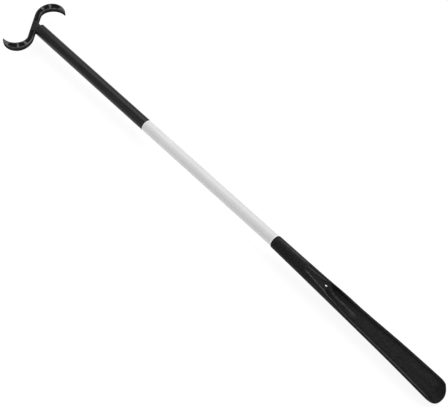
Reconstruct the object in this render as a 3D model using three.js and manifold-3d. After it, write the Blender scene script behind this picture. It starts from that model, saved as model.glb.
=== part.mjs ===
// Long shoehorn with a dressing hook: a take-apart stick of three sections.
// Millimetres, +X from hook to shoehorn tip, +Z up out of the open side of the blade.
// The hook lies in the XY plane. Positions along X are first measured from the end
// of the stick, where the hook's flange is, and the whole stick is centred at the end.
import * as THREE from 'three';
import { mergeVertices } from 'three/addons/utils/BufferGeometryUtils.js';
import Module from 'manifold-3d';

const wasm = await Module();
wasm.setup();

// Stick
const GAP = 0.3;
const TUBE_RADIUS = 8;
const TUBE_BORE = 7;
const FLANGE_THICK = 1.5;
const UPPER_END = 225.4;
const COLLAR_THICK = 1.0;
const MIDDLE_END = 466.0;
const ROUND_SEGMENTS = 32;
const RING_SIDES = 8;

// Joiners: one half is pressed into the middle tube, the other half is pulled apart by hand
const PRESSED_RADIUS = 6.7;
const PRESSED_LENGTH = 30;
const SPIGOT_RADIUS = 6.3;
const SPIGOT_LENGTH = 36;
const SPIGOT_CHAMFER = 1.2;
const JOINER_BORE = 4.0;
const GROOVE_RADIUS = 4.95;
const GROOVE_WIDTH = 2.1;
const GROOVE_PLACES = [9, 27];
const RING_SECTION = 0.75;
const RING_RADIUS = 6.0;

// Hook: a straight bar whose two ends bend round into pointed lobes. Each side of a lobe is
// two arcs, given as radius and turn, which start at a place along the bar from its middle.
const HOOK_THICK = 6;
const HOOK_CENTRE = new THREE.Vector2(-8.7, -2.5);
const BAR_ANGLE = THREE.MathUtils.degToRad(129.5);
const BAR_WIDTH = 6.4;
const OUTER_SIDE = { start: 21, arcs: [[24.3, 44], [18.6, 118]] };
const INNER_SIDE = { start: 19.6, arcs: [[13.7, 55.5], [21.2, 75.5]] };
const RIM_WIDTH = 2.1;
const POCKET_DEPTH = 1.8;
// The hook's arcs are drawn in steps of at most this many degrees
const ARC_STEP = 8;
const BAR_POCKET_START = 9;
// Point round which the pockets of a lobe are spaced, as distance along and beside the bar
const LOBE_MIDDLE = [20, 19];
const LOBE_REACH = [10, 40];
// Where each pocket of a lobe starts and ends, in degrees round that point
const POCKET_TURNS = [[45, 70], [78, 112]];
const BAR_POCKET_TURN = 34;
const LAST_POCKET_TURN = 122;
const WHOLE_TURN = 180;
const NECK_RADIUS = 5.2;
const NECK_OVERLAP = 1;
const FLANGE_CHAMFER = 0.4;
const HOOK_PLUG_LENGTH = 28;

// Shoehorn, measured from the mouth of its socket
const SHOEHORN_LENGTH = 275.6;
const SOCKET_DEPTH = 40;
const MOUTH_CHAMFER = 0.7;
const RIM_THICK = 3.0;
const TIP_ROUNDING = 20;
const TIP_FULLNESS = 0.75;
const TIP_MARGIN = 0.2;
const TIP_SEGMENTS = 10;
const FACET_START = 50;
const FACET_END = 92;
// The trough's floor drops as far as its bend, and runs straighter from there
const TROUGH_START = 88;
const TROUGH_BEND = 112;
const TROUGH_STEP = 10;
const HANGING_HOLE_AT = 89;
const HANGING_HOLE_RADIUS = 1.8;
const WEB_THICK = 2.0;
// The facet's plane runs on above the handle before it cuts into it
const FACET_RUN_OUT = 12;
// How far the stations run past the tip
const PAST_TIP = 2;
const RECESS_START = 72;
const RECESS_END = 106;
const RECESS_HALF_WIDTH = 6.6;
const RIB_START = 94;
const RIB_END = 142;
const RIB_HALF_WIDTH = 2.7;
const RIB_HEIGHT = 2.2;
const RIB_ROOT = 0.8;
// Share of its full height at which the rib starts, how fast it rises, and its width where it ends
const RIB_BLUNTNESS = 0.4;
const RIB_RISE = 8;
const RIB_END_WIDTH = 0.6;
// Depth of the trough's rounded bottom: at least this, and starting at most this far above the rims
const LEAST_BOWL = 1.5;
const HIGHEST_BOWL = 3;
// Rings of the shoehorn: an even number that is not a multiple of 4 puts a flat under the middle
const BLADE_SEGMENTS = 30;
// How many steps the shoehorn's cross-sections and side profiles are drawn in, along the stick
const BODY_RINGS = 26;
const EDGE_STEPS = 20;
const BEND_RINGS = 9;
const STRAIGHT_RINGS = 12;
const RECESS_STEPS = 4;
const RIB_RINGS = 10;
const RIB_SIDES = 12;
const HOLE_SIDES = 20;
// The body's first full ring past the chamfered mouth
const FIRST_BODY_RING = 10;
// How far cutting shapes reach past the surfaces that they cut
const CLEAR = 30;

// Stations of the shoehorn: half width, level of the widest place, depth below that level
const BODY_STATIONS = [
  { at: 0, half: 8.5, level: -0.3, depth: 8.5 },
  { at: 50, half: 9.4, level: -1.8, depth: 9.4 },
  { at: 90, half: 10.2, level: -2.8, depth: 10.8 },
  { at: 137, half: 12.0, level: -3.3, depth: 10.0 },
  { at: 198, half: 14.1, level: -4.4, depth: 9.8 },
  { at: 253, half: 15.8, level: -7.5, depth: 9.8 },
  { at: 280, half: 16.5, level: -8.9, depth: 13.6 },
];
// Height of the cut edge: a flat facet across the round handle, then the rims of the blade
const EDGE_STATIONS = [
  { at: FACET_END, height: 4.3 },
  { at: 112, height: 0.6 },
  { at: 137, height: -2.8 },
  { at: 198, height: -4.4 },
  { at: 253, height: -7.5 },
  { at: 280, height: -8.9 },
];
const FACET_TOP = 7.7;
// Floor of the trough, from the foot of the facet to the tip
const FLOOR_STATIONS = [
  { at: TROUGH_START, height: 5.0 },
  { at: 92, height: 3.0 },
  { at: 97, height: -4.0 },
  { at: 104, height: -6.8 },
  { at: 114, height: -7.7 },
  { at: 137, height: -9.2 },
  { at: 198, height: -10.8 },
  { at: 253, height: -14.2 },
  { at: 280, height: -20.2 },
];

// Value of one field of a list of stations at a place, as a smooth curve through them
function along(stations, field, place) {
  let i = 0;
  while (i < stations.length - 2 && place > stations[i + 1].at) {
    i += 1;
  }
  const slope = (a, b) => (stations[b][field] - stations[a][field]) / (stations[b].at - stations[a].at);
  const last = stations.length - 1;
  const span = stations[i + 1].at - stations[i].at;
  const startSlope = slope(Math.max(i - 1, 0), i + 1) * span;
  const endSlope = slope(i, Math.min(i + 2, last)) * span;
  const t = (place - stations[i].at) / span;
  const t2 = t * t;
  const t3 = t2 * t;
  const start = stations[i][field] * (2 * t3 - 3 * t2 + 1) + startSlope * (t3 - 2 * t2 + t);
  const end = stations[i + 1][field] * (3 * t2 - 2 * t3) + endSlope * (t3 - t2);
  return start + end;
}

function toSolid(geometry) {
  const bare = geometry.index ? geometry.toNonIndexed() : geometry.clone();
  bare.deleteAttribute('normal');
  bare.deleteAttribute('uv');
  const merged = mergeVertices(bare, 1e-4);
  const vertProperties = new Float32Array(merged.attributes.position.array);
  const triVerts = new Uint32Array(merged.index.array);
  return new wasm.Manifold(new wasm.Mesh({ numProp: 3, vertProperties, triVerts }));
}

function toGeometry(solid) {
  const mesh = solid.getMesh();
  const geometry = new THREE.BufferGeometry();
  geometry.setAttribute('position', new THREE.BufferAttribute(mesh.vertProperties, 3));
  geometry.setIndex(new THREE.BufferAttribute(mesh.triVerts, 1));
  geometry.computeVertexNormals();
  return geometry;
}

// Solid of revolution about the X axis, with a flat underneath; the profile is a list of [x, radius]
function turned(profile, segments = ROUND_SEGMENTS) {
  const points = profile.map(([x, radius]) => new THREE.Vector2(radius, x));
  return new THREE.LatheGeometry(points, segments, Math.PI / segments).rotateZ(-Math.PI / 2);
}

// Closed body through a list of rings, which all have the same number of points
function lofted(rings) {
  const count = rings[0].length;
  const positions = [];
  const index = [];
  rings.forEach((ring) => ring.forEach((point) => positions.push(point.x, point.y, point.z)));
  for (let r = 0; r < rings.length - 1; r += 1) {
    for (let i = 0; i < count; i += 1) {
      const a = r * count + i;
      const b = r * count + ((i + 1) % count);
      index.push(a, b, b + count, a, b + count, a + count);
    }
  }
  for (const [r, flip] of [[0, true], [rings.length - 1, false]]) {
    const centre = rings[r].reduce((sum, point) => sum.add(point), new THREE.Vector3());
    centre.divideScalar(count);
    const middle = positions.length / 3;
    positions.push(centre.x, centre.y, centre.z);
    for (let i = 0; i < count; i += 1) {
      const a = r * count + i;
      const b = r * count + ((i + 1) % count);
      index.push(...(flip ? [middle, b, a] : [middle, a, b]));
    }
  }
  const geometry = new THREE.BufferGeometry();
  geometry.setAttribute('position', new THREE.Float32BufferAttribute(positions, 3));
  geometry.setIndex(index);
  return geometry;
}

// Side profile in XZ pushed out to both sides of the middle plane
function sidePrism(shape, halfWidth) {
  const geometry = new THREE.ExtrudeGeometry(shape, { depth: 2 * halfWidth, bevelEnabled: false });
  return geometry.translate(0, 0, -halfWidth).rotateX(Math.PI / 2);
}

// Hook -----------------------------------------------------------------------

// Points along one side of half the hook, as [along the bar, beside it]; a side is moved by inset
function sidePoints(side, beside, inset) {
  const points = [];
  let turn = 0;
  let middle = [side.start, beside];
  let lastRadius = 0;
  for (const [radius, degrees] of side.arcs) {
    const reach = radius - lastRadius;
    middle = [middle[0] - reach * Math.sin(turn), middle[1] + reach * Math.cos(turn)];
    lastRadius = radius;
    const steps = Math.ceil(degrees / ARC_STEP);
    const sweep = THREE.MathUtils.degToRad(degrees);
    for (let i = points.length ? 1 : 0; i <= steps; i += 1) {
      const angle = turn + (sweep * i) / steps;
      const r = radius + inset;
      points.push([middle[0] + r * Math.sin(angle), middle[1] - r * Math.cos(angle)]);
    }
    turn += sweep;
  }
  return points;
}

// How far round the middle of its lobe a point lies, in degrees from the bar
function lobeTurn([forward, right]) {
  return THREE.MathUtils.radToDeg(Math.atan2(forward - LOBE_MIDDLE[0], LOBE_MIDDLE[1] - right));
}

// Outline of the S, point-symmetric about the middle of the bar; both lobes end at lastTurn
function hookOutline(inset, lastTurn) {
  const outer = sidePoints(OUTER_SIDE, -BAR_WIDTH / 2, -inset);
  const inner = sidePoints(INNER_SIDE, BAR_WIDTH / 2, inset).reverse();
  const half = [...outer, ...inner].filter((point) => lobeTurn(point) <= lastTurn);
  return [...half, ...half.map(([forward, right]) => [-forward, -right])];
}

// Flat solid over an outline given beside the bar, from one height to another
function hookLayer(outline, bottom, top) {
  const shape = new THREE.Shape(outline.map(([forward, right]) => new THREE.Vector2(forward, -right)));
  const geometry = new THREE.ExtrudeGeometry(shape, { depth: top - bottom, bevelEnabled: false });
  return toSolid(geometry.translate(0, 0, bottom).rotateZ(BAR_ANGLE));
}

function lobePoint(turn, reach) {
  const angle = THREE.MathUtils.degToRad(turn);
  return [LOBE_MIDDLE[0] + reach * Math.sin(angle), LOBE_MIDDLE[1] - reach * Math.cos(angle)];
}

// The stretches of the hook that are pocketed, as outlines wider than the hook
function pocketZones() {
  const [near, far] = LOBE_REACH;
  const zones = POCKET_TURNS.map(([from, to]) => [
    lobePoint(from, near),
    lobePoint(from, far),
    lobePoint(to, far),
    lobePoint(to, near),
  ]);
  zones.push([
    [BAR_POCKET_START, BAR_WIDTH],
    [BAR_POCKET_START, -BAR_WIDTH],
    lobePoint(BAR_POCKET_TURN, far),
    lobePoint(BAR_POCKET_TURN, near),
  ]);
  return zones;
}

function hookPlate() {
  const face = HOOK_THICK / 2;
  let plate = hookLayer(hookOutline(0, WHOLE_TURN), -face, face);
  for (const [bottom, top] of [[face - POCKET_DEPTH, face + 1], [-face - 1, POCKET_DEPTH - face]]) {
    const inner = hookLayer(hookOutline(RIM_WIDTH, LAST_POCKET_TURN), bottom, top);
    for (const zone of pocketZones()) {
      for (const way of [1, -1]) {
        const outline = zone.map(([forward, right]) => [way * forward, way * right]);
        plate = plate.subtract(inner.intersect(hookLayer(outline, bottom, top)));
      }
    }
  }
  return plate;
}

// The neck, the flange that covers the tube's end and the plug pressed into the tube
function hookNeck() {
  const neckStart = HOOK_CENTRE.x - NECK_OVERLAP;
  return toSolid(turned([
    [neckStart, 0],
    [neckStart, NECK_RADIUS],
    [0, NECK_RADIUS],
    [0, TUBE_RADIUS - FLANGE_CHAMFER],
    [FLANGE_CHAMFER, TUBE_RADIUS],
    [FLANGE_THICK, TUBE_RADIUS],
    [FLANGE_THICK, PRESSED_RADIUS],
    [HOOK_PLUG_LENGTH - SPIGOT_CHAMFER, PRESSED_RADIUS],
    [HOOK_PLUG_LENGTH, PRESSED_RADIUS - SPIGOT_CHAMFER],
    [HOOK_PLUG_LENGTH, 0],
  ]));
}

function hookHead() {
  return toGeometry(hookPlate().translate([HOOK_CENTRE.x, HOOK_CENTRE.y, 0]).add(hookNeck()));
}

// Tubes, joiners and rings -----------------------------------------------------

function tube(start, end) {
  return turned([
    [start, TUBE_BORE],
    [start, TUBE_RADIUS],
    [end, TUBE_RADIUS],
    [end, TUBE_BORE],
    [start, TUBE_BORE],
  ]);
}

// A joiner with its collar starting at 0, its spigot towards +X and its pressed half towards -X
function joiner() {
  const spigotEnd = COLLAR_THICK + SPIGOT_LENGTH;
  const grooves = GROOVE_PLACES.flatMap((place) => [
    [COLLAR_THICK + place - GROOVE_WIDTH / 2, SPIGOT_RADIUS],
    [COLLAR_THICK + place - GROOVE_WIDTH / 2, GROOVE_RADIUS],
    [COLLAR_THICK + place + GROOVE_WIDTH / 2, GROOVE_RADIUS],
    [COLLAR_THICK + place + GROOVE_WIDTH / 2, SPIGOT_RADIUS],
  ]);
  return turned([
    [-PRESSED_LENGTH, JOINER_BORE],
    [-PRESSED_LENGTH, PRESSED_RADIUS - SPIGOT_CHAMFER],
    [-PRESSED_LENGTH + SPIGOT_CHAMFER, PRESSED_RADIUS],
    [0, PRESSED_RADIUS],
    [0, TUBE_RADIUS],
    [COLLAR_THICK, TUBE_RADIUS],
    [COLLAR_THICK, SPIGOT_RADIUS],
    ...grooves,
    [spigotEnd - SPIGOT_CHAMFER, SPIGOT_RADIUS],
    [spigotEnd, SPIGOT_RADIUS - SPIGOT_CHAMFER],
    [spigotEnd, JOINER_BORE],
    [-PRESSED_LENGTH, JOINER_BORE],
  ]);
}

function gripRing(place) {
  const profile = [];
  for (let i = 0; i <= RING_SIDES; i += 1) {
    const angle = (2 * Math.PI * i) / RING_SIDES;
    profile.push([place + Math.sin(angle) * RING_SECTION, RING_RADIUS + Math.cos(angle) * RING_SECTION]);
  }
  return turned(profile);
}

// Shoehorn ---------------------------------------------------------------------

// Outer section: round on top, deeper or shallower below its widest level
function bodyRing(place) {
  const half = along(BODY_STATIONS, 'half', place);
  const level = along(BODY_STATIONS, 'level', place);
  const depth = along(BODY_STATIONS, 'depth', place);
  const ring = [];
  for (let i = 0; i < BLADE_SEGMENTS; i += 1) {
    const angle = (2 * Math.PI * i) / BLADE_SEGMENTS;
    const rise = Math.sin(angle);
    const height = level + rise * (rise > 0 ? half : depth);
    ring.push(new THREE.Vector3(place, Math.cos(angle) * half, height));
  }
  return ring;
}

// Inner section of the trough, from the floor up to well above the rims
function troughRing(place) {
  const half = along(BODY_STATIONS, 'half', place) - RIM_THICK;
  const level = along(BODY_STATIONS, 'level', place);
  const floor = along(FLOOR_STATIONS, 'height', place);
  const edge = edgeHeight(place);
  const wallFoot = Math.min(Math.max(level, floor + LEAST_BOWL), edge + HIGHEST_BOWL);
  const depth = wallFoot - floor;
  const ring = [half, -half].map((y) => new THREE.Vector3(place, y, edge + CLEAR));
  const steps = BLADE_SEGMENTS / 2;
  for (let i = 0; i <= steps; i += 1) {
    const angle = Math.PI + (Math.PI * i) / steps;
    ring.push(new THREE.Vector3(place, Math.cos(angle) * half, wallFoot + Math.sin(angle) * depth));
  }
  return ring;
}

function edgeHeight(place) {
  if (place > FACET_END) {
    return along(EDGE_STATIONS, 'height', place);
  }
  const foot = EDGE_STATIONS[0].height;
  return foot + ((FACET_TOP - foot) * (FACET_END - place)) / (FACET_END - FACET_START);
}

function places(start, end, count) {
  return Array.from({ length: count + 1 }, (_, i) => start + ((end - start) * i) / count);
}

function shoehornBody() {
  const stations = [MOUTH_CHAMFER, ...places(FIRST_BODY_RING, SHOEHORN_LENGTH + PAST_TIP, BODY_RINGS)];
  const rings = stations.map(bodyRing);
  const mouth = bodyRing(0);
  const inset = 1 - MOUTH_CHAMFER / BODY_STATIONS[0].half;
  rings.unshift(mouth.map((point) => new THREE.Vector3(0, point.y * inset, point.z * inset)));
  return toSolid(lofted(rings));
}

// Everything above the facet and the rims
function edgeCutter() {
  const start = FACET_START - FACET_RUN_OUT;
  const end = SHOEHORN_LENGTH + 2 * PAST_TIP;
  const line = [start, ...places(FACET_END, end, EDGE_STEPS)];
  const points = line.map((place) => new THREE.Vector2(place, edgeHeight(place)));
  points.push(new THREE.Vector2(end, CLEAR), new THREE.Vector2(start, CLEAR));
  return toSolid(sidePrism(new THREE.Shape(points), CLEAR));
}

// Plan outline of the blade with its rounded tip
function planPrism() {
  const outline = new THREE.Shape();
  const start = SHOEHORN_LENGTH - TIP_ROUNDING;
  const half = along(BODY_STATIONS, 'half', start) + TIP_MARGIN;
  const corner = start + TIP_ROUNDING * TIP_FULLNESS;
  outline.moveTo(-PAST_TIP, -CLEAR);
  outline.lineTo(start - TIP_ROUNDING, -CLEAR);
  outline.lineTo(start, -half);
  outline.bezierCurveTo(corner, -half, SHOEHORN_LENGTH, -half * TIP_FULLNESS, SHOEHORN_LENGTH, 0);
  outline.bezierCurveTo(SHOEHORN_LENGTH, half * TIP_FULLNESS, corner, half, start, half);
  outline.lineTo(start - TIP_ROUNDING, CLEAR);
  outline.lineTo(-PAST_TIP, CLEAR);
  const geometry = new THREE.ExtrudeGeometry(outline, {
    depth: 2 * CLEAR,
    bevelEnabled: false,
    curveSegments: TIP_SEGMENTS,
  });
  return toSolid(geometry.translate(0, 0, -CLEAR));
}

function troughCutter() {
  const end = SHOEHORN_LENGTH + 2 * PAST_TIP;
  const bend = places(TROUGH_START, TROUGH_BEND, BEND_RINGS);
  const straight = places(TROUGH_BEND + TROUGH_STEP, end, STRAIGHT_RINGS);
  const stations = [...bend, ...straight];
  return toSolid(lofted(stations.map(troughRing)));
}

function socketBore() {
  return toSolid(turned([[-1, 0], [-1, TUBE_BORE], [SOCKET_DEPTH, TUBE_BORE], [SOCKET_DEPTH, 0]]));
}

// Moulding recess under the facet, open below, which leaves a thin web for the hanging hole
function undersideRecess() {
  const ceiling = [RECESS_START, ...places(FACET_END, RECESS_END, RECESS_STEPS)];
  const points = ceiling.map((place) => {
    const floor = place > FACET_END ? along(FLOOR_STATIONS, 'height', place) : edgeHeight(place);
    return new THREE.Vector2(place, floor - WEB_THICK);
  });
  points.push(new THREE.Vector2(RECESS_END, -CLEAR), new THREE.Vector2(RECESS_START, -CLEAR));
  const profile = toSolid(sidePrism(new THREE.Shape(points.reverse()), 2 * RECESS_HALF_WIDTH));
  const slot = new THREE.Shape();
  slot.absarc(RECESS_START + RECESS_HALF_WIDTH, 0, RECESS_HALF_WIDTH, Math.PI / 2, 1.5 * Math.PI);
  slot.absarc(RECESS_END - RECESS_HALF_WIDTH, 0, RECESS_HALF_WIDTH, -Math.PI / 2, Math.PI / 2);
  const plan = new THREE.ExtrudeGeometry(slot, {
    depth: 2 * CLEAR,
    bevelEnabled: false,
    curveSegments: TIP_SEGMENTS,
  });
  return profile.intersect(toSolid(plan.translate(0, 0, -CLEAR)));
}

function hangingHole() {
  const hole = new THREE.CylinderGeometry(HANGING_HOLE_RADIUS, HANGING_HOLE_RADIUS, CLEAR, HOLE_SIDES);
  return toSolid(hole.rotateX(Math.PI / 2).translate(HANGING_HOLE_AT, 0, 0));
}

// Rounded rib along the floor, fading into it towards the tip
function floorRib() {
  const rings = places(RIB_START, RIB_END, RIB_RINGS).map((place) => {
    const t = (place - RIB_START) / (RIB_END - RIB_START);
    const swell = Math.min(1, RIB_BLUNTNESS + RIB_RISE * t) * (1 - t * t * t);
    const floor = along(FLOOR_STATIONS, 'height', place) - RIB_ROOT;
    const halfWidth = RIB_HALF_WIDTH * (RIB_END_WIDTH + (1 - RIB_END_WIDTH) * swell);
    const ring = [];
    for (let i = 0; i < RIB_SIDES; i += 1) {
      const angle = (2 * Math.PI * i) / RIB_SIDES;
      const rise = Math.sin(angle);
      const height = rise * (rise > 0 ? RIB_HEIGHT * swell + RIB_ROOT : RIB_ROOT);
      ring.push(new THREE.Vector3(place, Math.cos(angle) * halfWidth, floor + height));
    }
    return ring;
  });
  return toSolid(lofted(rings));
}

function shoehorn() {
  const solid = shoehornBody()
    .intersect(planPrism())
    .subtract(edgeCutter())
    .subtract(troughCutter())
    .subtract(socketBore())
    .subtract(undersideRecess())
    .subtract(hangingHole())
    .add(floorRib());
  return toGeometry(solid);
}

// Assembly ---------------------------------------------------------------------

function plastic(color, roughness) {
  return new THREE.MeshStandardMaterial({ color, roughness, metalness: 0 });
}

const BLACK_MOULDING = plastic(0x1b1b1c, 0.42);
const BLACK_PAINT = plastic(0x1d1d1e, 0.38);
const GREY_PAINT = plastic(0xd4d5d6, 0.4);
const WHITE_MOULDING = plastic(0xe8e8e6, 0.35);
const RUBBER = plastic(0x151515, 0.8);

const stick = new THREE.Group();

function addPiece(name, geometry, material, x = 0, facesHook = false) {
  const mesh = new THREE.Mesh(geometry, material);
  mesh.name = name;
  mesh.position.x = x;
  mesh.rotation.z = facesHook ? Math.PI : 0;
  stick.add(mesh);
}

const MIDDLE_START = UPPER_END + COLLAR_THICK;
const SHOEHORN_START = MIDDLE_END + COLLAR_THICK + GAP;

addPiece('hook_head', hookHead(), BLACK_MOULDING);
addPiece('upper_tube', tube(FLANGE_THICK + GAP, UPPER_END - GAP), BLACK_PAINT);
addPiece('middle_tube', tube(MIDDLE_START + GAP, MIDDLE_END - GAP), GREY_PAINT);
addPiece('upper_joiner', joiner(), WHITE_MOULDING, MIDDLE_START, true);
addPiece('lower_joiner', joiner(), WHITE_MOULDING, MIDDLE_END);
GROOVE_PLACES.forEach((groove, i) => {
  addPiece(`upper_grip_ring_${i + 1}`, gripRing(COLLAR_THICK + groove), RUBBER, MIDDLE_START, true);
  addPiece(`lower_grip_ring_${i + 1}`, gripRing(COLLAR_THICK + groove), RUBBER, MIDDLE_END);
});
addPiece('shoehorn', shoehorn(), BLACK_MOULDING, SHOEHORN_START);

// The origin is under the middle of the stick's bounding box
const box = new THREE.Box3().setFromObject(stick);
stick.position.set(-(box.min.x + box.max.x) / 2, -(box.min.y + box.max.y) / 2, -box.min.z);

const part = new THREE.Group();
part.add(stick);

export default part;
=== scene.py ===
"""Long shoehorn with a dressing hook, as a take-apart stick of three sections on a pale floor.

Lengths are worked out in millimetres in the stick's own frame: X runs along the stick from the
end where the hook's flange is, Y and Z are measured from the middle line of the tubes.
"""

import math

import bmesh
import bpy
import numpy as np
from mathutils import Matrix, Vector


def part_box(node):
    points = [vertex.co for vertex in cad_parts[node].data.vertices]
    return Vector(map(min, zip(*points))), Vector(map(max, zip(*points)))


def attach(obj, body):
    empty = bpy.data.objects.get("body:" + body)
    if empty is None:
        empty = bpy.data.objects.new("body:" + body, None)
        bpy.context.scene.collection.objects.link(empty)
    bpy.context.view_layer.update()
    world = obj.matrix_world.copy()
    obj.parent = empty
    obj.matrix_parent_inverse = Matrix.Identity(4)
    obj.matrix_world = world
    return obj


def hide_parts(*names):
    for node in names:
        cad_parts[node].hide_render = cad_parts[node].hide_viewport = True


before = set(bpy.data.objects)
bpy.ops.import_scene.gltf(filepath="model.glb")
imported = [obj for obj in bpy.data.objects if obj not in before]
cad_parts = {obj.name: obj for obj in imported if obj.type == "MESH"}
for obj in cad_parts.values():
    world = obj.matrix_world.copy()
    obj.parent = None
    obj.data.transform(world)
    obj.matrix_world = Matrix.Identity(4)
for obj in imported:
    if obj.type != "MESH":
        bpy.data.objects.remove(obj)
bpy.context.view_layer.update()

METRES = 0.001

# Stick
GAP = 0.3
TUBE_RADIUS = 8.0
TUBE_BORE = 7.0
FLANGE_THICK = 1.5
COLLAR_THICK = 1.0
TUBE_EDGE = 0.3
ROUND_SEGMENTS = 96
CORNER_STEPS = 4
SHARP_EDGE = math.radians(35)
NO_SHARP_EDGES = math.pi

# Joiners and their rings
PRESSED_RADIUS = 6.7
PRESSED_LENGTH = 30.0
SPIGOT_RADIUS = 6.3
SPIGOT_LENGTH = 36.0
SPIGOT_CHAMFER = 1.2
JOINER_BORE = 4.0
GROOVE_RADIUS = 4.95
GROOVE_WIDTH = 2.1
GROOVE_PLACES = (9.0, 27.0)
COLLAR_EDGE = 0.2
COLLAR_CLOSING = 0.22
RING_SECTION = 0.75
RING_RADIUS = 6.0
RING_SIDES = 20

# Hook: each side of a lobe is two arcs, as (radius, turn), that start along the bar
HOOK_CELL = 0.45
HOOK_THICK = 6.0
HOOK_CENTRE = (-8.7, -2.5)
HOOK_SWELL = 0.8
HOOK_ROUNDING = 1.3
BAR_ANGLE = math.radians(129.5)
BAR_WIDTH = 6.4
OUTER_START = 21.0
OUTER_ARCS = ((24.3, math.radians(44)), (18.6, math.radians(118)))
INNER_START = 19.6
INNER_ARCS = ((13.7, math.radians(55.5)), (21.2, math.radians(75.5)))
ARC_STEP = math.radians(4)
RIM_WIDTH = 2.0
POCKET_DEPTH = 1.8
BAR_POCKET_START = 9.0
LOBE_MIDDLE = (20.0, 19.0)
LOBE_RADIUS = 19.0
BAR_POCKET_TURN = math.radians(34)
POCKET_TURNS = ((math.radians(45), math.radians(66)), (math.radians(76), math.radians(112)))
POCKET_CORNER = 1.2
POCKET_EDGE = 0.6
NECK_RADIUS = 5.2
NECK_OVERLAP = 1.0
NECK_FILLET = 1.6
FLANGE_EDGE = 0.5
HOOK_PLUG_LENGTH = 28.0
PLUG_EDGE = 1.5
PLUG_FILLET = 0.5
# Where the hook's rims get a painted highlight and a lower roughness: heights from the plate's middle,
# then distances from the hook's centre
RIM_HIGHLIGHT_FROM = 1.9
RIM_HIGHLIGHT_TO = 2.9
LEAST_HIGHLIT = 9.0
MOST_HIGHLIT = 26.0

# Shoehorn, measured from the mouth of its socket
BLADE_CELL = 0.55
SHOEHORN_LENGTH = 275.6
SOCKET_DEPTH = 40.0
SOCKET_EDGE = 1.4
BORE_EDGE = 0.6
RIM_THICK = 3.0
RIM_EDGE = 0.9
TIP_ROUNDING = 20.0
TIP_POWER = 2.6
TIP_ROOM = 0.2
TIP_EDGE = 0.9
FACET_START = 50.0
FACET_END = 92.0
FACET_TOP = 7.7
TROUGH_START = 88.0
TROUGH_EDGE = 1.0
WALL_FOOT_LIFT = 1.5
WALL_FOOT_CLEAR = 3.0
HANGING_HOLE_AT = 88.4
HANGING_HOLE_RADIUS = 1.6
HANGING_HOLE_EDGE = 0.6
WEB_THICK = 2.0
RECESS_START = 72.0
RECESS_END = 106.0
RECESS_HALF_WIDTH = 6.6
RECESS_CORNER = 1.0
RECESS_EDGE = 0.8
RIB_START = 94.0
RIB_END = 142.0
RIB_HALF_WIDTH = 2.7
RIB_HEIGHT = 2.2
RIB_ASIDE = 0.8
RIB_ROOT = 0.8
RIB_BLUNTNESS = 0.4
RIB_RISE = 8.0
RIB_END_WIDTH = 0.6
RIB_FILLET = 0.9
GROOVE_ALONG_FACET = ((58, -1.2), (72, 0.2), (84, 1.6), (91, 5.2))
FACET_GROOVE_RADIUS = 0.9
FACET_GROOVE_LIFT = 0.3
FACET_GROOVE_EDGE = 0.5
# Painted highlights along the top of the shoehorn, and a broad painted light inside the blade, as
# (first end, last end, half width, how much); ends are (place, y)
PAINTED_HIGHLIGHT_LINES = (
    ((4, 2.8), (54, 3.8), 2.2, 0.5),
    ((58, -4.6), (92, -7.3), 0.7, 1.0),
    ((92, -7.0), (266, -12.5), 1.4, 1.4),
    ((56, 0.4), (82, 3.2), 0.6, 1.0),
    ((94, 2.6), (134, 2.2), 1.0, 1.0),
    ((94, 0.3), (136, 0.3), 2.8, 0.45),
    ((96, 6.0), (262, 9.5), 6.0, 0.16),
)
HIGHLIGHT_END_FADE = 4.0
HIGHLIGHT_FULL = 0.3
HIGHLIGHT_GONE = 1.2
HIGHLIGHT_PATCHES = (0.45, 1.0)
FACING_UP = 0.2

# Stations of the shoehorn, as (place, value)
BODY_HALF = ((0, 8.5), (50, 9.4), (90, 10.2), (137, 12.0), (198, 14.1), (253, 15.8), (280, 16.5))
BODY_LEVEL = ((0, -0.3), (50, -1.8), (90, -2.8), (137, -3.3), (198, -4.4), (253, -7.5), (280, -8.9))
BODY_DEPTH = ((0, 8.5), (50, 9.4), (90, 10.8), (137, 10.0), (198, 9.8), (253, 9.8), (280, 13.6))
EDGE = ((92, 4.3), (112, 0.6), (137, -2.8), (198, -4.4), (253, -7.5), (280, -8.9))
TROUGH_FLOOR = (
    (88, 5.0),
    (92, 3.0),
    (97, -4.0),
    (104, -6.8),
    (114, -7.7),
    (137, -9.2),
    (198, -10.8),
    (253, -14.2),
    (280, -20.2),
)

# Meshing of the moulded pieces
MARGIN_CELLS = 2
CELL_CORNERS = 8
SETTLE_ROUNDS = 3
PROBE_CELLS = 0.05
LONGEST_STEP_CELLS = 0.5
LEAST_RISE_SQUARED = 0.05
LEAST_LENGTH = 1e-9
LEAST_SLOPE = 1e-6
FAR = 1e9

# Looks: noise scales are cells for each metre, tones are linear colours
NOISE_DETAIL = 3.0
PLAIN_DETAIL = 2.0
RICH_DETAIL = 4.0
NOISE_ROUGHNESS = 0.55
NOISE_MIDDLE = (0.3, 0.7)
PATCHES = (0.4, 0.6)
NONE_TO_ALL = (0.0, 1.0)
WORN_NOISE = 260
WORN_PATCHES = (0.2, 1.0)
# Patches and outward growth of the painted highlight on the hook's rims
RIM_HIGHLIGHT_PATCHES = (0.3, 1.0)
RIM_HIGHLIGHT_OUTWARDS = (0.2, 1.0)
TUBE_WORN_EDGES = (0.54, 0.64)
# The shoehorn's lighter convex edges are edge wear and also painted edge highlights
SHOEHORN_WORN_AND_HIGHLIT_EDGES = (0.53, 0.6)
SHOEHORN_TONE_NOISE = 420
SHOEHORN_TONE_RANGE = (0.38, 0.62)
SHOEHORN_ROUGH_NOISE = 450
# Noise that breaks up the painted highlights on the shoehorn
HIGHLIGHT_NOISE = 300
HOOK_TONE_NOISE = 90
HOOK_TONE_RANGE = (0.35, 0.65)
DRAWN_LINE_NOISE = 900
DRAWN_LINE_STRETCH = (0.02, 1.0, 1.0)
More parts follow.
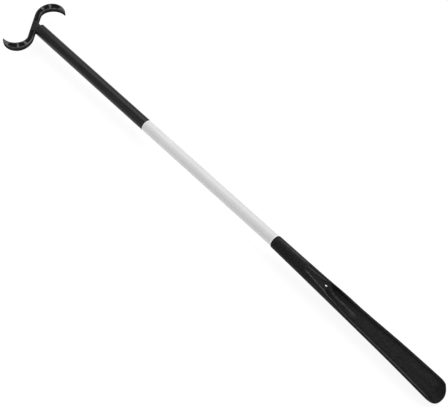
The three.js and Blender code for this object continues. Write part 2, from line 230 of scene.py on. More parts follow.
# Bumps, as (noise scale, strength, distance in metres)
MOULDED_WAVES = (55, 0.15, 0.0008)
SHOEHORN_GRAIN = (1500, 0.22, 0.0002)
HOOK_GRAIN = (1500, 0.15, 0.0002)
ORANGE_PEEL = (700, 0.12, 0.00025)
NYLON_RIPPLE = (900, 0.08, 0.0002)
RUBBER_GRAIN = (2500, 0.3, 0.0001)
# The drawn lines' own bump, as (strength, distance in metres)
DRAWN_LINE_BUMP = (0.05, 0.0001)

# Numbers that Blender gives the colour sockets of its Mix node
MIX_FIRST_COLOUR = 6
MIX_SECOND_COLOUR = 7
MIX_COLOUR_OUT = 2

# Pale floor and room, lights in metres and watts
FLOOR_SIZE = 6.0
FLOOR_SQUARES = 8
FLOOR_GLOW = 0.88
ROOM_SEEN = 1.0
ROOM_LIGHT = 0.44
KEY_LIGHT = {
    "angle": math.radians(33),
    "distance": 1.6,
    "size_x": 2.6,
    "size_y": 1.1,
    "energy": 21.0,
    "along_x": -0.3,
}
FILL_LIGHT = {
    "angle": math.radians(-50),
    "distance": 1.8,
    "size_x": 2.4,
    "size_y": 0.9,
    "energy": 5.0,
    "along_x": 0.0,
}

# Camera: turned and tilted round the stick, seen from a given distance
TURN = math.radians(27.5)
TILT = math.radians(26.0)
ROLL = math.radians(42.07)
CAMERA_DISTANCE = 1830.0
LOOK_AT = 382.0
LOOK_ASIDE = 7.56
FOCAL_LENGTH = 120.5
SENSOR_WIDTH = 36.0
FARTHEST_SEEN = 100.0


# Places in the shared frame --------------------------------------------------------


def stick_origin():
    """The point of the shared frame, in mm, that the stick's own frame is measured from."""
    low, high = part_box("upper_tube")
    start = low.x / METRES - FLANGE_THICK - GAP
    return Vector((start, (low.y + high.y) / 2 / METRES, (low.z + high.z) / 2 / METRES))


ORIGIN = stick_origin()
UPPER_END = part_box("upper_tube")[1].x / METRES - ORIGIN.x + GAP
MIDDLE_START = UPPER_END + COLLAR_THICK
MIDDLE_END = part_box("middle_tube")[1].x / METRES - ORIGIN.x + GAP
SHOEHORN_START = MIDDLE_END + COLLAR_THICK + GAP


def add_mesh(name, points, faces):
    """A smooth-shaded mesh object from points in mm in the stick's frame."""
    placed = (np.asarray(points, float) + np.array(ORIGIN)) * METRES
    mesh = bpy.data.meshes.new(name)
    mesh.from_pydata(placed.tolist(), [], [list(f) for f in faces])
    mesh.validate()
    mesh.shade_smooth()
    obj = bpy.data.objects.new(name, mesh)
    bpy.context.scene.collection.objects.link(obj)
    return obj


# Turned pieces -------------------------------------------------------------------


def lathe(name, profile, sharp=SHARP_EDGE):
    """Closed ring-shaped body from a closed profile of (place along X, radius)."""
    count = len(profile)
    points = []
    faces = []
    for s in range(ROUND_SEGMENTS):
        angle = 2 * math.pi * s / ROUND_SEGMENTS
        for place, radius in profile:
            points.append((place, math.cos(angle) * radius, math.sin(angle) * radius))
    for s in range(ROUND_SEGMENTS):
        n = (s + 1) % ROUND_SEGMENTS
        for i in range(count):
            j = (i + 1) % count
            faces.append((s * count + i, s * count + j, n * count + j, n * count + i))
    obj = add_mesh(name, points, faces)
    mesh = bmesh.new()
    mesh.from_mesh(obj.data)
    bmesh.ops.recalc_face_normals(mesh, faces=mesh.faces)
    for edge in mesh.edges:
        edge.smooth = edge.calc_face_angle(0.0) < sharp
    mesh.to_mesh(obj.data)
    mesh.free()
    return obj


def rounded_corner(place, radius, size, along_way):
    """A quarter round at an outer corner; along_way is 1 where the corner faces +X."""
    corner = []
    for i in range(CORNER_STEPS + 1):
        angle = math.pi / 2 * i / CORNER_STEPS
        dx = -size + size * math.sin(angle)
        dr = -size + size * math.cos(angle)
        corner.append((place + along_way * dx, radius + dr))
    return corner if along_way > 0 else corner[::-1]


def tube(name, start, end):
    """A drawn tube with its four edges broken."""
    profile = [(start, TUBE_BORE + TUBE_EDGE), (start + TUBE_EDGE, TUBE_BORE)]
    profile += [(end - TUBE_EDGE, TUBE_BORE), (end, TUBE_BORE + TUBE_EDGE)]
    profile += rounded_corner(end, TUBE_RADIUS, TUBE_EDGE, 1)[::-1]
    profile += rounded_corner(start, TUBE_RADIUS, TUBE_EDGE, -1)[::-1]
    return lathe(name, profile)


def joiner_profile():
    """Collar at 0, spigot towards +X, pressed half towards -X."""
    spigot_end = COLLAR_THICK + SPIGOT_LENGTH
    profile = [(-PRESSED_LENGTH, JOINER_BORE), (-PRESSED_LENGTH, PRESSED_RADIUS - SPIGOT_CHAMFER)]
    collar_start = -COLLAR_CLOSING
    collar_end = COLLAR_THICK + COLLAR_CLOSING
    profile += [(-PRESSED_LENGTH + SPIGOT_CHAMFER, PRESSED_RADIUS), (collar_start, PRESSED_RADIUS)]
    profile += rounded_corner(collar_start, TUBE_RADIUS, COLLAR_EDGE, -1)
    profile += rounded_corner(collar_end, TUBE_RADIUS, COLLAR_EDGE, 1)
    profile.append((collar_end, SPIGOT_RADIUS))
    for place in GROOVE_PLACES:
        left = COLLAR_THICK + place - GROOVE_WIDTH / 2
        right = left + GROOVE_WIDTH
        profile += [(left, SPIGOT_RADIUS), (left, GROOVE_RADIUS)]
        profile += [(right, GROOVE_RADIUS), (right, SPIGOT_RADIUS)]
    profile += [(spigot_end - SPIGOT_CHAMFER, SPIGOT_RADIUS)]
    profile += [(spigot_end, SPIGOT_RADIUS - SPIGOT_CHAMFER), (spigot_end, JOINER_BORE)]
    return profile


def ring_profile(place):
    """The round section of a rubber ring."""
    profile = []
    for i in range(RING_SIDES):
        turn = 2 * math.pi * i / RING_SIDES
        radius = RING_RADIUS + RING_SECTION * math.cos(turn)
        profile.append((place + RING_SECTION * math.sin(turn), radius))
    return profile


def shifted(profile, start, way):
    """A profile moved to its start, and mirrored where way is -1."""
    return [(start + way * place, radius) for place, radius in profile]


# Moulded pieces, as the surface of a field -----------------------------------------


def along(stations, x):
    """Smooth curve through stations of (place, value)."""
    at = np.array([s[0] for s in stations], float)
    value = np.array([s[1] for s in stations], float)
    slopes = np.gradient(value, at)
    slopes[1:-1] = (value[2:] - value[:-2]) / (at[2:] - at[:-2])
    i = np.clip(np.searchsorted(at, x) - 1, 0, len(at) - 2)
    span = at[i + 1] - at[i]
    t = (x - at[i]) / span
    start = value[i] * (2 * t**3 - 3 * t**2 + 1) + slopes[i] * span * (t**3 - 2 * t**2 + t)
    return start + value[i + 1] * (3 * t**2 - 2 * t**3) + slopes[i + 1] * span * (t**3 - t**2)


def both(a, b, blend):
    """What lies inside both shapes, with the edge between them rounded."""
    mix = np.clip(0.5 + 0.5 * (a - b) / blend, 0, 1)
    return b + (a - b) * mix + blend * mix * (1 - mix)


def either(a, b, blend):
    """What lies inside one shape or the other, with the corner between them filled."""
    return -both(-a, -b, blend)


def ellipse(y, z, half_y, half_z):
    """About the distance to an ellipse round the origin."""
    k0 = np.sqrt((y / half_y) ** 2 + (z / half_z) ** 2)
    k1 = np.sqrt((y / half_y**2) ** 2 + (z / half_z**2) ** 2)
    return k0 * (k0 - 1) / np.maximum(k1, LEAST_SLOPE)


def settle(field, points, cell):
    """Points moved onto the surface of the field."""
    probe = PROBE_CELLS * cell
    longest = LONGEST_STEP_CELLS * cell
    for _ in range(SETTLE_ROUNDS):
        x, y, z = points.T
        here = field(x, y, z)
        ahead = np.stack([field(x + probe, y, z), field(x, y + probe, z), field(x, y, z + probe)], 1)
        rise = (ahead - here[:, None]) / probe
        step = rise * (here / np.maximum((rise**2).sum(1), LEAST_RISE_SQUARED))[:, None]
        length = np.sqrt((step**2).sum(1))
        step *= np.minimum(1, longest / np.maximum(length, LEAST_LENGTH))[:, None]
        points = points - step
    return points


def moulded(name, field, low, high, cell):
    """Mesh of the surface where the field is 0, one point for each cell it passes through.

    The surface is sampled in the box low to high and a margin, and is left open where it goes on
    past them, as the outer edges of the hook do.
    """
    before = MARGIN_CELLS * cell
    after = (MARGIN_CELLS + 1) * cell
    axes = [np.arange(low[i] - before, high[i] + after, cell) for i in range(3)]
    value = field(*np.meshgrid(*axes, indexing="ij", sparse=True))
    inside = value < 0
    shape = np.array(inside.shape)
    units = np.eye(3, dtype=int)
    filled = np.zeros(shape - 1, int)
    for corner in np.ndindex(2, 2, 2):
        filled += inside[tuple(slice(c, n - 1 + c) for c, n in zip(corner, shape))]
    crossed = (filled > 0) & (filled < CELL_CORNERS)
    base = np.argwhere(crossed)
    number = np.full(crossed.shape, -1)
    number[crossed] = np.arange(len(base))
    total = np.zeros((len(base), 3))
    hits = np.zeros(len(base))
    faces = []
    for axis in range(3):
        u, v = (axis + 1) % 3, (axis + 2) % 3
        for du, dv in np.ndindex(2, 2):
            near = base + du * units[u] + dv * units[v]
            a = value[tuple(near.T)]
            b = value[tuple((near + units[axis]).T)]
            hit = (a < 0) != (b < 0)
            part = np.where(hit, a / np.where(hit, a - b, 1), 0)
            total += hit[:, None] * (near + part[:, None] * units[axis])
            hits += hit
        ahead = np.roll(inside, -1, axis)
        edges = np.argwhere(inside != ahead)
        edges = edges[(edges >= 1).all(1) & (edges < shape - 1).all(1)]
        ring = [edges, edges - units[u], edges - units[u] - units[v], edges - units[v]]
        quads = np.stack([number[tuple(r.T)] for r in ring], 1)
        backwards = ~inside[tuple(edges.T)]
        quads[backwards] = quads[backwards][:, ::-1]
        faces.append(quads)
    points = np.array([a[0] for a in axes]) + cell * total / hits[:, None]
    return add_mesh(name, settle(field, points, cell), np.concatenate(faces).tolist())


# Hook ------------------------------------------------------------------------------

BAR_DIRECTION = np.array([math.cos(BAR_ANGLE), math.sin(BAR_ANGLE)])
BAR_RIGHT = np.array([BAR_DIRECTION[1], -BAR_DIRECTION[0]])


def side_points(start, beside, arcs):
    """Points along one side of a lobe, as (along the bar, beside it)."""
    points = []
    turn = 0.0
    last_radius = 0.0
    middle = (start, beside)
    for radius, sweep in arcs:
        reach = radius - last_radius
        middle = (middle[0] - reach * math.sin(turn), middle[1] + reach * math.cos(turn))
        last_radius = radius
        steps = math.ceil(sweep / ARC_STEP)
        for i in range(1 if points else 0, steps + 1):
            angle = turn + sweep * i / steps
            points.append((middle[0] + radius * math.sin(angle), middle[1] - radius * math.cos(angle)))
        turn += sweep
    return points


def outline_distance(outline, a, b):
    """Distance to a closed outline, below 0 inside it."""
    shape = np.broadcast(a, b).shape
    nearest = np.full(shape, FAR)
    within = np.zeros(shape, bool)
    for start, end in zip(outline, np.roll(outline, -1, 0)):
        way = end - start
        part = np.clip(((a - start[0]) * way[0] + (b - start[1]) * way[1]) / (way @ way), 0, 1)
        from_a = a - start[0] - part * way[0]
        from_b = b - start[1] - part * way[1]
        nearest = np.minimum(nearest, from_a**2 + from_b**2)
        if way[1] != 0:
            level = (b - start[1]) / way[1]
            within ^= (level >= 0) & (level < 1) & (a < start[0] + level * way[0])
    return np.sqrt(nearest) * np.where(within, -1, 1)


def half_outline():
    """One lobe and the whole bar, which is long enough to reach under the other lobe."""
    outer = side_points(OUTER_START, -BAR_WIDTH / 2, OUTER_ARCS)
    inner = side_points(INNER_START, BAR_WIDTH / 2, INNER_ARCS)[::-1]
    return np.array([(-INNER_START, -BAR_WIDTH / 2), *outer, *inner, (-INNER_START, BAR_WIDTH / 2)])


HALF_OUTLINE = half_outline()


def hook_field(x, y, z):
    """The S-shaped plate with its pockets, the neck, the flange and the plug in the tube."""
    dx = x - HOOK_CENTRE[0]
    dy = y - HOOK_CENTRE[1]
    forward = dx * BAR_DIRECTION[0] + dy * BAR_DIRECTION[1]
    right = dx * BAR_RIGHT[0] + dy * BAR_RIGHT[1]
    side = np.where(forward < 0, -1, 1)
    forward = forward * side
    right = right * side
    outline = outline_distance(HALF_OUTLINE, forward, right) - HOOK_SWELL
    face = np.abs(z) - HOOK_THICK / 2
    plate = both(outline, face, HOOK_ROUNDING)
    turn = np.arctan2(forward - LOBE_MIDDLE[0], LOBE_MIDDLE[1] - right)
    sunk = -face - POCKET_DEPTH
    ends = [(BAR_POCKET_START - forward, (turn - BAR_POCKET_TURN) * LOBE_RADIUS)]
    ends += [((a - turn) * LOBE_RADIUS, (turn - b) * LOBE_RADIUS) for a, b in POCKET_TURNS]
    for start, end in ends:
        pocket = both(outline + RIM_WIDTH, np.maximum(start, end), POCKET_CORNER)
        plate = both(plate, -both(pocket, sunk, POCKET_EDGE), POCKET_EDGE)
    radius = np.sqrt(y**2 + z**2)
    neck_ends = np.maximum(HOOK_CENTRE[0] - NECK_OVERLAP - x, x - FLANGE_THICK)
    head = either(plate, np.maximum(radius - NECK_RADIUS, neck_ends), NECK_FILLET)
    flange_ends = np.abs(x - FLANGE_THICK / 2) - FLANGE_THICK / 2
    flange = both(radius - TUBE_RADIUS, flange_ends, FLANGE_EDGE)
    plug = both(radius - PRESSED_RADIUS, np.maximum(-x, x - HOOK_PLUG_LENGTH), PLUG_EDGE)
    return either(head, np.minimum(flange, plug), PLUG_FILLET)


# Shoehorn --------------------------------------------------------------------------


def edge_height(x):
    """Height of the facet across the handle, then of the rims of the blade."""
    foot = EDGE[0][1]
    facet = foot + (FACET_TOP - foot) * (FACET_END - x) / (FACET_END - FACET_START)
    return np.where(x > FACET_END, along(EDGE, np.maximum(x, FACET_END)), facet)


def shoehorn_body(x, y, z):
    """The outer shape: a round handle that flattens into the blade, with a rounded tip."""
    half = along(BODY_HALF, x)
    up = z - along(BODY_LEVEL, x)
    outer = ellipse(y, up, half, np.where(up > 0, half, along(BODY_DEPTH, x)))
    outer = both(outer, -x, SOCKET_EDGE)
    tip_start = SHOEHORN_LENGTH - TIP_ROUNDING
    tip_half = along(BODY_HALF, np.array(tip_start)) + TIP_ROOM
    ahead = np.maximum(x - tip_start, 0) / TIP_ROUNDING
    plan = (ahead**TIP_POWER + (np.abs(y) / tip_half) ** TIP_POWER) ** (1 / TIP_POWER) - 1
    return both(outer, plan * tip_half, TIP_EDGE)


def trough(x, y, z):
    """The hollow of the blade, open above."""
    half = along(BODY_HALF, x) - RIM_THICK
    floor = along(TROUGH_FLOOR, np.maximum(x, TROUGH_START))
    wall_foot = np.maximum(along(BODY_LEVEL, x), floor + WALL_FOOT_LIFT)
    wall_foot = np.minimum(wall_foot, edge_height(x) + WALL_FOOT_CLEAR)
    below = ellipse(y, z - wall_foot, half, wall_foot - floor)
    hollow = np.where(z < wall_foot, below, np.abs(y) - half)
    return np.maximum(hollow, TROUGH_START - x)


def recess(x, y, z):
    """Moulding recess under the facet, open below."""
    floor = along(TROUGH_FLOOR, np.maximum(x, FACET_END))
    ceiling = np.where(x > FACET_END, floor, edge_height(x)) - WEB_THICK
    straight = np.clip(x, RECESS_START + RECESS_HALF_WIDTH, RECESS_END - RECESS_HALF_WIDTH)
    plan = np.sqrt((x - straight) ** 2 + y**2) - RECESS_HALF_WIDTH
    return both(plan, z - ceiling, RECESS_CORNER)


def rib(x, y, z):
    """Rounded rib along the floor, fading into it towards the tip."""
    t = np.clip((x - RIB_START) / (RIB_END - RIB_START), 0, 1)
    swell = np.minimum(1, RIB_BLUNTNESS + RIB_RISE * t) * (1 - t**3)
    foot = along(TROUGH_FLOOR, np.maximum(x, TROUGH_START)) - RIB_ROOT
    half = RIB_HALF_WIDTH * (RIB_END_WIDTH + (1 - RIB_END_WIDTH) * swell)
    body = ellipse(y - RIB_ASIDE, z - foot, half, RIB_HEIGHT * swell + RIB_ROOT)
    return np.maximum(body, np.maximum(RIB_START - x, x - RIB_END))


def facet_groove(x, y, z):
    """Fine groove in the facet beside the hanging hole."""
    start = GROOVE_ALONG_FACET[0][0]
    end = GROOVE_ALONG_FACET[-1][0]
    aside = y - along(GROOVE_ALONG_FACET, np.clip(x, start, end))
    beyond = np.maximum(np.maximum(start - x, x - end), 0)
    above = z - edge_height(x) - FACET_GROOVE_LIFT
    return np.sqrt(aside**2 + above**2 + beyond**2) - FACET_GROOVE_RADIUS


def shoehorn_field(x, y, z):
    """Handle and blade, with the trough, groove, recess, hanging hole and socket cut out of them."""
    x = x - SHOEHORN_START
    body = both(shoehorn_body(x, y, z), z - edge_height(x), RIM_EDGE)
    body = both(body, -trough(x, y, z), TROUGH_EDGE)
    body = either(body, rib(x, y, z), RIB_FILLET)
    body = both(body, -facet_groove(x, y, z), FACET_GROOVE_EDGE)
    body = both(body, -recess(x, y, z), RECESS_EDGE)
    hole = np.sqrt((x - HANGING_HOLE_AT) ** 2 + y**2) - HANGING_HOLE_RADIUS
    body = both(body, -hole, HANGING_HOLE_EDGE)
    bore = np.maximum(np.sqrt(y**2 + z**2) - TUBE_BORE, x - SOCKET_DEPTH)
    return both(body, -bore, BORE_EDGE)


def node_field_box(node):
    """A CAD node's box, in mm in the stick's frame."""
    low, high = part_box(node)
    return np.array(low) / METRES - np.array(ORIGIN), np.array(high) / METRES - np.array(ORIGIN)


# Materials -------------------------------------------------------------------------


def new_material(name):
    material = bpy.data.materials.new(name)
    material.use_nodes = True
    nodes = material.node_tree.nodes
    return material, material.node_tree, nodes["Principled BSDF"]


def grey(tone):
    return (tone, tone, tone)


def noise(tree, scale, detail=NOISE_DETAIL, stretch=None):
    """Noise over the object's own coordinates; stretch scales the three axes."""
    coordinates = tree.nodes.new("ShaderNodeTexCoord")
    texture = tree.nodes.new("ShaderNodeTexNoise")
    texture.inputs["Scale"].default_value = scale
    texture.inputs["Detail"].default_value = detail
    texture.inputs["Roughness"].default_value = NOISE_ROUGHNESS
    source = coordinates.outputs["Object"]
    if stretch:
        mapping = tree.nodes.new("ShaderNodeMapping")
        mapping.inputs["Scale"].default_value = stretch
        tree.links.new(source, mapping.inputs["Vector"])
        source = mapping.outputs["Vector"]
    tree.links.new(source, texture.inputs["Vector"])
    return texture.outputs["Fac"]


def ramp(tree, factor, dark, light, over=NOISE_MIDDLE):
    """Colours from dark to light while the factor crosses a range."""
    node = tree.nodes.new("ShaderNodeValToRGB")
    for element, place, colour in zip(node.color_ramp.elements, over, (dark, light)):
        element.position = place
        element.color = (*colour, 1.0)
    tree.links.new(factor, node.inputs["Fac"])
    return node.outputs["Color"]


def spread(tree, factor, ends, over=NOISE_MIDDLE):
    """A number that runs from one end to the other while the factor crosses a range."""
    node = tree.nodes.new("ShaderNodeMapRange")
    node.inputs["From Min"].default_value = over[0]
    node.inputs["From Max"].default_value = over[1]
    node.inputs["To Min"].default_value = ends[0]
    node.inputs["To Max"].default_value = ends[1]
    tree.links.new(factor, node.inputs["Value"])
    return node.outputs["Result"]


def mixed(tree, factor, first, second):
    """Second colour over the first, by a factor."""
    node = tree.nodes.new("ShaderNodeMix")
    node.data_type = "RGBA"
    tree.links.new(factor, node.inputs["Factor"])
    tree.links.new(first, node.inputs[MIX_FIRST_COLOUR])
    node.inputs[MIX_SECOND_COLOUR].default_value = (*second, 1.0)
    return node.outputs[MIX_COLOUR_OUT]


def grain(tree, layer):
    """A noisy bump layer from (noise scale, strength, distance in metres)."""
    scale, strength, distance = layer
    return noise(tree, scale, PLAIN_DETAIL), strength, distance


def bumps(tree, shader, layers):
    """Bump nodes one after another; layers are (height, strength, distance in metres)."""
    normal = None
    for height, strength, distance in layers:
        node = tree.nodes.new("ShaderNodeBump")
        node.inputs["Strength"].default_value = strength
        node.inputs["Distance"].default_value = distance
        tree.links.new(height, node.inputs["Height"])
        if normal:
            tree.links.new(normal, node.inputs["Normal"])
        normal = node.outputs["Normal"]
    tree.links.new(normal, shader.inputs["Normal"])


def stick_place(tree):
    """The place in the stick's frame, in mm, as three numbers."""
    coordinates = tree.nodes.new("ShaderNodeTexCoord")
    mapping = tree.nodes.new("ShaderNodeMapping")
    mapping.inputs["Scale"].default_value = (1 / METRES, 1 / METRES, 1 / METRES)
    mapping.inputs["Location"].default_value = -ORIGIN
    tree.links.new(coordinates.outputs["Object"], mapping.inputs["Vector"])
    split = tree.nodes.new("ShaderNodeSeparateXYZ")
    tree.links.new(mapping.outputs["Vector"], split.inputs["Vector"])
    return split.outputs["X"], split.outputs["Y"], split.outputs["Z"]


def calculated(tree, operation, *values):
    """A Math node over sockets and numbers."""
    node = tree.nodes.new("ShaderNodeMath")
    node.operation = operation
    for socket, value in zip(node.inputs, values):
        if isinstance(value, (int, float)):
            socket.default_value = value
        else:
            tree.links.new(value, socket)
    return node.outputs["Value"]


def squared(tree, value):
    return calculated(tree, "POWER", calculated(tree, "ABSOLUTE", value), 2)


def worn_edges(tree, sharpness):
    """1 on sharp outer edges, 0 elsewhere, broken up by noise."""
    geometry = tree.nodes.new("ShaderNodeNewGeometry")
    edges = spread(tree, geometry.outputs["Pointiness"], NONE_TO_ALL, sharpness)
    patchy = spread(tree, noise(tree, WORN_NOISE, RICH_DETAIL), WORN_PATCHES, PATCHES)
    return calculated(tree, "MULTIPLY", edges, patchy)


def painted_highlight_line(tree, x, y, first, last, half_width, amount):
    """A painted highlight that rises to the given amount along a straight line seen from above, fading
    at its sides and ends.
    """
    slope = (last[1] - first[1]) / (last[0] - first[0])
    start = SHOEHORN_START + first[0]
    end = SHOEHORN_START + last[0]
    line = calculated(tree, "MULTIPLY_ADD", x, slope, first[1] - slope * start)
    aside = calculated(tree, "ABSOLUTE", calculated(tree, "SUBTRACT", y, line))
    fading = (HIGHLIGHT_FULL * half_width, HIGHLIGHT_GONE * half_width)
    across = spread(tree, aside, (amount, 0), fading)
    from_start = spread(tree, x, (0, 1), (start - HIGHLIGHT_END_FADE, start + HIGHLIGHT_END_FADE))
    to_end = spread(tree, x, (1, 0), (end - HIGHLIGHT_END_FADE, end + HIGHLIGHT_END_FADE))
    return calculated(tree, "MULTIPLY", across, calculated(tree, "MULTIPLY", from_start, to_end))


def facing_up(tree):
    """1 where the surface faces up, 0 where it faces sideways or down."""
    coordinates = tree.nodes.new("ShaderNodeTexCoord")
    split = tree.nodes.new("ShaderNodeSeparateXYZ")
    tree.links.new(coordinates.outputs["Normal"], split.inputs["Vector"])
    return spread(tree, split.outputs["Z"], NONE_TO_ALL, (0, FACING_UP))


def painted_highlights(tree):
    """How much painted highlight the top of the shoehorn gets: along its lines, broken up by noise."""
    x, y, _ = stick_place(tree)
    highlit = 0.0
    for line in PAINTED_HIGHLIGHT_LINES:
        highlit = calculated(tree, "MAXIMUM", highlit, painted_highlight_line(tree, x, y, *line))
    patchy = spread(tree, noise(tree, HIGHLIGHT_NOISE), HIGHLIGHT_PATCHES, PATCHES)
    patchy_above = calculated(tree, "MULTIPLY", patchy, facing_up(tree))
    return calculated(tree, "MULTIPLY", highlit, patchy_above)


def rim_gloss_and_highlight_mask(tree):
    """How much painted highlight and gloss the hook gets: on its rims, and more towards the ends of the
    S.
    """
    x, y, z = stick_place(tree)
    rim = spread(tree, calculated(tree, "ABSOLUTE", z), NONE_TO_ALL, (RIM_HIGHLIGHT_FROM, RIM_HIGHLIGHT_TO))
    patchy = spread(tree, noise(tree, WORN_NOISE), RIM_HIGHLIGHT_PATCHES, PATCHES)
    rim = calculated(tree, "MULTIPLY", rim, patchy)
    dx = calculated(tree, "SUBTRACT", x, HOOK_CENTRE[0])
    dy = calculated(tree, "SUBTRACT", y, HOOK_CENTRE[1])
    squares = calculated(tree, "ADD", squared(tree, dx), squared(tree, dy))
    from_middle = calculated(tree, "SQRT", squares)
    outwards = spread(tree, from_middle, RIM_HIGHLIGHT_OUTWARDS, (LEAST_HIGHLIT, MOST_HIGHLIT))
    return calculated(tree, "MULTIPLY", rim, outwards)


def black_moulding():
    """Injection-moulded black plastic with a fine spark-eroded grain, convex edges lightened as wear
    and as painted highlights, and painted highlights along some lines.
    """
    material, tree, shader = new_material("black_moulding")
    dark = (0.0095, 0.0095, 0.0098)
    light = (0.0185, 0.0185, 0.0188)
    edge_wear_and_highlight_tone = grey(0.022)
    # Light grey of the painted highlights, and of the broad painted light inside the blade
    painted_highlight_tone = grey(0.1)
    tone = ramp(tree, noise(tree, SHOEHORN_TONE_NOISE, RICH_DETAIL), dark, light, SHOEHORN_TONE_RANGE)
    # Convex edges lighter: edge wear, and painted highlights along the shoehorn's edges
    worn = mixed(tree, worn_edges(tree, SHOEHORN_WORN_AND_HIGHLIT_EDGES), tone, edge_wear_and_highlight_tone)
    # Painted highlights mixed in along the lines on the top of the shoehorn
    tree.links.new(mixed(tree, painted_highlights(tree), worn, painted_highlight_tone), shader.inputs["Base Color"])
    roughness = spread(tree, noise(tree, SHOEHORN_ROUGH_NOISE, RICH_DETAIL), (0.44, 0.58))
    tree.links.new(roughness, shader.inputs["Roughness"])
    bumps(tree, shader, [grain(tree, MOULDED_WAVES), grain(tree, SHOEHORN_GRAIN)])
    shader.inputs["Specular IOR Level"].default_value = 0.05
    return material


def hook_moulding():
    """The same plastic on the hook: matt in the pockets, glossier on the rims, where a painted
    highlight lightens the colour.
    """
    material, tree, shader = new_material("hook_moulding")
    rim_gloss_and_highlight = rim_gloss_and_highlight_mask(tree)
    dark = (0.006, 0.006, 0.0062)
    light = (0.009, 0.009, 0.0092)
    # Light grey of the painted highlight on the hook's rims
    rim_highlight_tone = grey(0.11)
    tone = ramp(tree, noise(tree, HOOK_TONE_NOISE), dark, light, HOOK_TONE_RANGE)
    tree.links.new(mixed(tree, rim_gloss_and_highlight, tone, rim_highlight_tone), shader.inputs["Base Color"])
    roughness = spread(tree, rim_gloss_and_highlight, (0.75, 0.3), NONE_TO_ALL)
    tree.links.new(roughness, shader.inputs["Roughness"])
    bumps(tree, shader, [grain(tree, MOULDED_WAVES), grain(tree, HOOK_GRAIN)])
    shader.inputs["Specular IOR Level"].default_value = 0.12
    return material


def tube_paint(name, tone_noise, dark, light, worn, roughness, specular):
    """Satin coating on drawn tube: orange peel and faint lines along the tube."""
    material, tree, shader = new_material(name)
    tone = ramp(tree, noise(tree, tone_noise), dark, light)
    colour = mixed(tree, worn_edges(tree, TUBE_WORN_EDGES), tone, worn)
    tree.links.new(colour, shader.inputs["Base Color"])
    lines = noise(tree, DRAWN_LINE_NOISE, PLAIN_DETAIL, DRAWN_LINE_STRETCH)
    tree.links.new(spread(tree, lines, roughness), shader.inputs["Roughness"])
    bumps(tree, shader, [grain(tree, ORANGE_PEEL), (lines, *DRAWN_LINE_BUMP)])
    shader.inputs["Specular IOR Level"].default_value = specular
    return material


def black_paint():
    """The satin black of the upper tube."""
    return tube_paint(
        "black_paint",
        tone_noise=40,
        dark=(0.0105, 0.0105, 0.0108),
        light=(0.0145, 0.0145, 0.015),
        worn=grey(0.08),
        roughness=(0.3, 0.42),
        specular=0.22,
    )


def grey_paint():
    """The satin light grey of the middle tube, a little uneven in tone."""
    return tube_paint(
        "grey_paint",
        tone_noise=30,
        dark=grey(0.695),
        light=grey(0.735),
        worn=grey(0.45),
        roughness=(0.34, 0.48),
        specular=0.5,
    )


def mottled(name, tone_noise, dark, light, rough_noise, roughness):
    """A new material with a tone and a roughness that vary a little from place to place."""
    material, tree, shader = new_material(name)
    tone = ramp(tree, noise(tree, tone_noise), dark, light)
    tree.links.new(tone, shader.inputs["Base Color"])
    tree.links.new(spread(tree, noise(tree, rough_noise), roughness), shader.inputs["Roughness"])
    return material, tree, shader


def white_moulding():
    """Smooth white nylon, slightly translucent."""
    material, tree, shader = mottled(
        "white_moulding",
        tone_noise=120,
        dark=(0.92, 0.92, 0.915),
        light=(0.97, 0.97, 0.965),
        rough_noise=500,
        roughness=(0.24, 0.36),
    )
    shader.inputs["Subsurface Weight"].default_value = 0.08
    shader.inputs["Subsurface Radius"].default_value = (0.002, 0.002, 0.002)
    bumps(tree, shader, [grain(tree, NYLON_RIPPLE)])
    return material


def rubber():
    """Matt black rubber with a dusty bloom."""
    material, tree, shader = mottled(
        "rubber",
        tone_noise=600,
        dark=grey(0.008),
        light=grey(0.02),
        rough_noise=900,
        roughness=(0.65, 0.85),
    )
    bumps(tree, shader, [grain(tree, RUBBER_GRAIN)])
    return material


def pale_floor():
    """A matt floor that glows a little, so that it is seen nearly white."""
    material, tree, shader = mottled(
        "pale_floor",
        tone_noise=3,
        dark=grey(0.16),
        light=grey(0.19),
        rough_noise=40,
        roughness=(0.75, 0.9),
    )
    shader.inputs["Specular IOR Level"].default_value = 0.1
    shader.inputs["Emission Color"].default_value = (1.0, 1.0, 1.0, 1.0)
    shader.inputs["Emission Strength"].default_value = FLOOR_GLOW
    return material


# The object ------------------------------------------------------------------------


def finish_piece(obj, material, slot, body, *nodes):
    """Gives a piece its material, hides the CAD parts that it stands for and hangs it on the body that
    it rides on.
    """
    obj.data.materials.append(material)
    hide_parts(*nodes)
    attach(obj, body)


def build_hook_section():
    """The hook's moulding and the black tube."""
    hook = moulded("hook_head_moulding", hook_field, *node_field_box("hook_head"), HOOK_CELL)
    finish_piece(hook, hook_moulding(), "black_moulding", "hook_section", "hook_head")
    upper = tube("upper_tube_shell", FLANGE_THICK + GAP, UPPER_END - GAP)
    finish_piece(upper, black_paint(), "black_paint", "hook_section", "upper_tube")


def build_joiner(end_name, start, way, white, black_rubber):
    """A white joiner with its two rings; way is 1 where the spigot points to +X."""
    joiner = lathe(f"{end_name}_joiner_moulding", shifted(joiner_profile(), start, way))
    finish_piece(joiner, white, "white_moulding", "middle_section", f"{end_name}_joiner")
    for i, groove in enumerate(GROOVE_PLACES):
        profile = shifted(ring_profile(COLLAR_THICK + groove), start, way)
        ring = lathe(f"{end_name}_ring_{i + 1}", profile, sharp=NO_SHARP_EDGES)
        node = f"{end_name}_grip_ring_{i + 1}"
        finish_piece(ring, black_rubber, "rubber", "middle_section", node)


def build_middle_section():
    """The grey tube and a joiner at each of its ends."""
    middle = tube("middle_tube_shell", MIDDLE_START + GAP, MIDDLE_END - GAP)
    finish_piece(middle, grey_paint(), "grey_paint", "middle_section", "middle_tube")
    white = white_moulding()
    black_rubber = rubber()
    build_joiner("upper", MIDDLE_START, -1, white, black_rubber)
    build_joiner("lower", MIDDLE_END, 1, white, black_rubber)


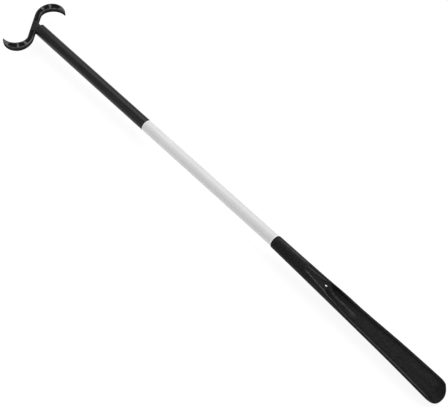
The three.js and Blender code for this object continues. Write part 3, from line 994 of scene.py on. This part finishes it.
def build_shoehorn_section():
    """The shoehorn's moulding."""
    blade = moulded("shoehorn_moulding", shoehorn_field, *node_field_box("shoehorn"), BLADE_CELL)
    finish_piece(blade, black_moulding(), "black_moulding", "shoehorn_section", "shoehorn")


# Floor, light and camera -------------------------------------------------------------


def add_floor():
    """A wide level floor under the stick."""
    mesh = bmesh.new()
    bmesh.ops.create_grid(mesh, x_segments=FLOOR_SQUARES, y_segments=FLOOR_SQUARES, size=FLOOR_SIZE)
    data = bpy.data.meshes.new("floor")
    mesh.to_mesh(data)
    mesh.free()
    floor = bpy.data.objects.new("floor", data)
    bpy.context.scene.collection.objects.link(floor)
    data.materials.append(pale_floor())


def add_softbox(name, angle, distance, size_x, size_y, energy, along_x):
    """A soft light turned to the middle of the frame; angle is from straight above towards +Y."""
    light = bpy.data.lights.new(name, "AREA")
    light.shape = "RECTANGLE"
    light.size = size_x
    light.size_y = size_y
    light.energy = energy
    obj = bpy.data.objects.new(name, light)
    where = Vector((along_x, math.sin(angle) * distance, math.cos(angle) * distance))
    obj.location = where
    obj.rotation_euler = where.to_track_quat("Z", "Y").to_euler()
    bpy.context.scene.collection.objects.link(obj)


def add_world():
    """A pale room as the camera sees it, and a dim one as the light."""
    world = bpy.data.worlds.new("room")
    bpy.context.scene.world = world
    world.use_nodes = True
    tree = world.node_tree
    tree.nodes.clear()
    output = tree.nodes.new("ShaderNodeOutputWorld")
    mix = tree.nodes.new("ShaderNodeMixShader")
    path = tree.nodes.new("ShaderNodeLightPath")
    for i, strength in enumerate((ROOM_LIGHT, ROOM_SEEN)):
        background = tree.nodes.new("ShaderNodeBackground")
        background.inputs["Color"].default_value = (1.0, 1.0, 1.0, 1.0)
        background.inputs["Strength"].default_value = strength
        tree.links.new(background.outputs[0], mix.inputs[i + 1])
    tree.links.new(path.outputs["Is Camera Ray"], mix.inputs[0])
    tree.links.new(mix.outputs[0], output.inputs["Surface"])


def add_camera():
    """The camera stands back from the stick, turned and tilted round it."""
    back = Vector((math.sin(TURN), -math.cos(TURN) * math.sin(TILT), math.cos(TURN) * math.cos(TILT)))
    level = (Vector((1, 0, 0)) - back * back.x).normalized()
    aside = back.cross(level)
    right = level * math.cos(ROLL) + aside * math.sin(ROLL)
    up = aside * math.cos(ROLL) - level * math.sin(ROLL)
    target = ORIGIN + Vector((LOOK_AT, 0, 0)) - aside * LOOK_ASIDE
    camera = bpy.data.objects.new("camera", bpy.data.cameras.new("camera"))
    camera.data.lens = FOCAL_LENGTH
    camera.data.sensor_width = SENSOR_WIDTH
    camera.data.clip_end = FARTHEST_SEEN
    turned = Matrix((right, up, back)).transposed().to_4x4()
    turned.translation = (target + back * CAMERA_DISTANCE) * METRES
    camera.matrix_world = turned
    bpy.context.scene.collection.objects.link(camera)
    bpy.context.scene.camera = camera


build_hook_section()
build_middle_section()
build_shoehorn_section()
add_floor()
add_world()
add_softbox("key", **KEY_LIGHT)
add_softbox("fill", **FILL_LIGHT)
add_camera()
bpy.context.scene.view_settings.view_transform = "Standard"
